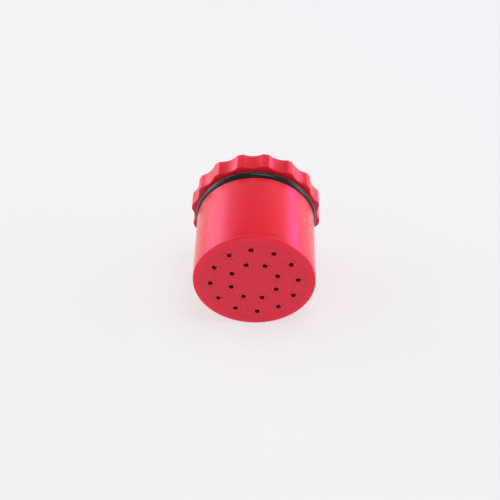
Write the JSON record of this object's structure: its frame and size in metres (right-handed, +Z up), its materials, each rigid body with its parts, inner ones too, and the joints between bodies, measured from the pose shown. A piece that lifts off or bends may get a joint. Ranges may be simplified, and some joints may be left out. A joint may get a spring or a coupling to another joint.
{
  "type": "desiccant plug",
  "caption": "Vented round canister of drying beads with a scalloped screw cap and a rubber ring, which plugs a telescope focuser and keeps its tube dry.",
  "frame": {"origin": "centre of the vented face, on the plug's axis", "axes": "+Y along the plug's axis from the vented face to the cap, +Z up through a finger scoop of the cap as the plug lies on its side, +X to the right seen from the vented face"},
  "size_m": [0.0554, 0.0486, 0.0554],
  "materials": {
    "printed_plastic": "red printed plastic, satin, with fine layer lines",
    "rubber_ring": "black moulded rubber",
    "drying_gel": "deep orange glassy beads"
  },
  "bodies": {
    "canister": {"canister": "printed_plastic", "bead_bed": "drying_gel", "bead_01": "drying_gel", "bead_02": "drying_gel", "bead_03": "drying_gel", "bead_04": "drying_gel", "bead_05": "drying_gel", "bead_06": "drying_gel", "bead_07": "drying_gel", "bead_08": "drying_gel", "bead_09": "drying_gel", "bead_10": "drying_gel", "bead_11": "drying_gel", "bead_12": "drying_gel", "bead_13": "drying_gel", "bead_14": "drying_gel", "bead_15": "drying_gel", "bead_16": "drying_gel", "bead_17": "drying_gel", "bead_18": "drying_gel", "bead_19": "drying_gel", "bead_20": "drying_gel", "bead_21": "drying_gel", "bead_22": "drying_gel", "bead_23": "drying_gel", "bead_24": "drying_gel", "bead_25": "drying_gel", "bead_26": "drying_gel", "bead_27": "drying_gel", "bead_28": "drying_gel", "bead_29": "drying_gel", "bead_30": "drying_gel", "bead_31": "drying_gel", "bead_32": "drying_gel", "bead_33": "drying_gel", "bead_34": "drying_gel", "bead_35": "drying_gel", "bead_36": "drying_gel", "bead_37": "drying_gel"},
    "seal": {"o_ring": "rubber_ring"},
    "cap": {"screw_cap": "printed_plastic"}
  },
  "joints": [
    {"name": "cap_lift", "type": "slide", "parent": "canister", "child": "seal", "axis": [0, 1, 0], "range_m": [0, 0.008]},
    {"name": "cap_turn", "type": "hinge", "parent": "seal", "child": "cap", "pos_m": [0, 0.0405, 0], "axis": [0, 1, 0], "range_deg": [0, 720]}
  ],
  "couplings": [
    {"joint": "cap_lift", "follows": "cap_turn", "m_per_rad": 0.00063662}
  ]
}
